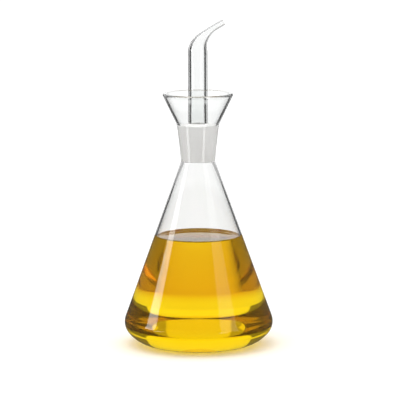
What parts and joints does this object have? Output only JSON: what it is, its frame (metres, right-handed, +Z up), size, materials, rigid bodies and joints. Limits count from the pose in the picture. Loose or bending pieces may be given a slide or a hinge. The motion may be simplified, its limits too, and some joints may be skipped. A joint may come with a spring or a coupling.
{
  "type": "glass oil cruet",
  "caption": "Conical clear glass oil cruet with a ground neck, a flared drip cup and a lift-out pourer whose tube bends over to a narrow tip, filled with golden oil.",
  "frame": {"origin": "centre of the standing ring, on the axis of the flask", "axes": "+Z up along the axis of the flask, +X towards the tip of the spout"},
  "size_m": [0.11, 0.11, 0.241],
  "materials": {
    "clear_glass": "polished",
    "ground_glass": "matte",
    "oil": "gloss"
  },
  "bodies": {
    "flask": {"reservoir": "clear_glass", "neck_socket": "ground_glass", "drip_funnel": "clear_glass", "oil": "oil"},
    "plug": {"stopper_plug": "ground_glass"},
    "spout": {"spout_tube": "clear_glass"}
  },
  "joints": [
    {"name": "pourer_lift", "type": "slide", "parent": "flask", "child": "plug", "axis": [0, 0, 1], "range_m": [0, 0.05]},
    {"name": "spout_turn", "type": "hinge", "parent": "plug", "child": "spout", "pos_m": [0, 0, 0.1655], "axis": [0, 0, 1], "continuous": true}
  ]
}
